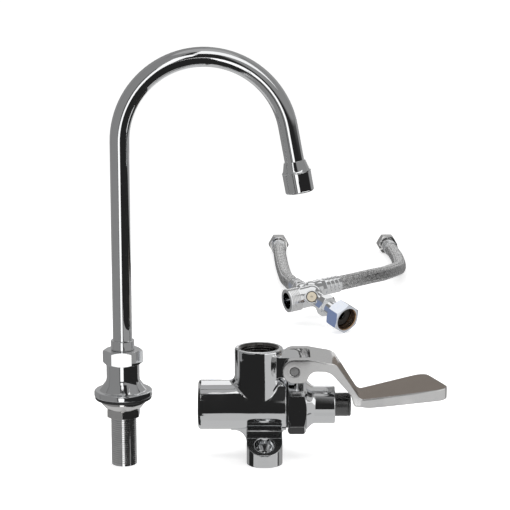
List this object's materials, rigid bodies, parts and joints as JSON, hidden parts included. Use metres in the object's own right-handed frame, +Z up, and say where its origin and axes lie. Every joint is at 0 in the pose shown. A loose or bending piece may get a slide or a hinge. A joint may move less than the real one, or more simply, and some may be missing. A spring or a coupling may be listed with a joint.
{
  "type": "foot pedal faucet set",
  "caption": "Swivel gooseneck faucet with a floor-mounted pedal valve, forked foot lever and a mixing tee with braided supply hoses.",
  "frame": {"origin": "centre of the lower end of the faucet's threaded shank, on the swivel axis of the spout", "axes": "+Z up along the swivel axis, +X towards the pedal, +Y away from the user towards the tee and hoses"},
  "size_m": [0.3332, 0.9656, 0.3473],
  "materials": {
    "polished_chrome": "polished chrome plate on brass",
    "nickel_plate": "bright nickel plate on brass",
    "brass": "plain machined brass",
    "steel": "stainless steel",
    "plunger_steel": "dark blackened steel",
    "black_rubber": "matt moulded rubber",
    "white_plastic": "moulded acetal",
    "steel_braid": "woven stainless wire over a rubber liner"
  },
  "bodies": {
    "set": {"faucet_base": "polished_chrome", "deck_gasket": "black_rubber", "clamp_washer": "nickel_plate", "locknut": "nickel_plate", "packing_nut": "polished_chrome", "valve_body": "polished_chrome", "bonnet_gasket": "black_rubber", "bonnet": "polished_chrome", "packing_gland": "brass", "stem_packing": "black_rubber", "valve_seat": "brass", "pivot_pin": "steel", "return_spring": "steel", "tee_body": "polished_chrome", "test_plug": "brass", "plug_seal": "black_rubber", "tailpiece": "polished_chrome", "nut_gasket": "black_rubber", "right_nipple": "polished_chrome", "left_nipple": "polished_chrome", "right_check_valve": "white_plastic", "left_check_valve": "white_plastic", "right_ferrule": "polished_chrome", "left_ferrule": "polished_chrome", "right_hose": "steel_braid", "left_hose": "steel_braid", "right_end_ferrule": "polished_chrome", "left_end_ferrule": "polished_chrome", "right_end_tail": "polished_chrome", "left_end_tail": "polished_chrome", "right_end_washer": "black_rubber", "left_end_washer": "black_rubber"},
    "spout": {"spout_tube": "polished_chrome", "spout_collar": "polished_chrome", "swivel_sleeve": "brass", "lower_o_ring": "black_rubber", "upper_o_ring": "black_rubber", "swivel_washer": "white_plastic", "outlet_adapter": "polished_chrome", "aerator_washer": "black_rubber", "aerator_insert": "white_plastic", "aerator_screen": "steel", "aerator_shell": "polished_chrome"},
    "pedal": {"pedal_lever": "polished_chrome"},
    "plunger": {"plunger": "plunger_steel", "valve_stem": "steel", "seat_washer": "black_rubber", "washer_screw": "steel"},
    "tee_nut": {"swivel_nut": "nickel_plate"},
    "right_hose_nut": {"right_end_nut": "nickel_plate"},
    "left_hose_nut": {"left_end_nut": "nickel_plate"}
  },
  "joints": [
    {"name": "spout_swivel", "type": "hinge", "parent": "set", "child": "spout", "pos_m": [0, 0, 0], "axis": [0, 0, 1], "continuous": true},
    {"name": "pedal_pivot", "type": "hinge", "parent": "set", "child": "pedal", "pos_m": [0.1425, 0.025, 0.0784], "axis": [0, 1, 0], "range_deg": [0, 10]},
    {"name": "plunger_slide", "type": "slide", "parent": "set", "child": "plunger", "axis": [-1, 0, 0], "range_m": [0, 0.0085], "stiffness_N_per_m": 2000, "springref_m": -0.015, "deforming": ["return_spring"]},
    {"name": "tee_nut_spin", "type": "hinge", "parent": "set", "child": "tee_nut", "pos_m": [0.20709, 0.45945, 0.01847], "axis": [0.5706, -0.7853, -0.2402], "continuous": true},
    {"name": "right_hose_nut_spin", "type": "hinge", "parent": "set", "child": "right_hose_nut", "pos_m": [0.29395, 0.93086, 0.01218], "axis": [-0.0871, 0.9959, 0.0224], "continuous": true},
    {"name": "left_hose_nut_spin", "type": "hinge", "parent": "set", "child": "left_hose_nut", "pos_m": [0.14251, 0.92899, 0.01218], "axis": [-0.0139, 0.9997, 0.0222], "continuous": true}
  ],
  "couplings": [
    {"joint": "plunger_slide", "follows": "pedal_pivot", "m_per_rad": 0.0475}
  ]
}
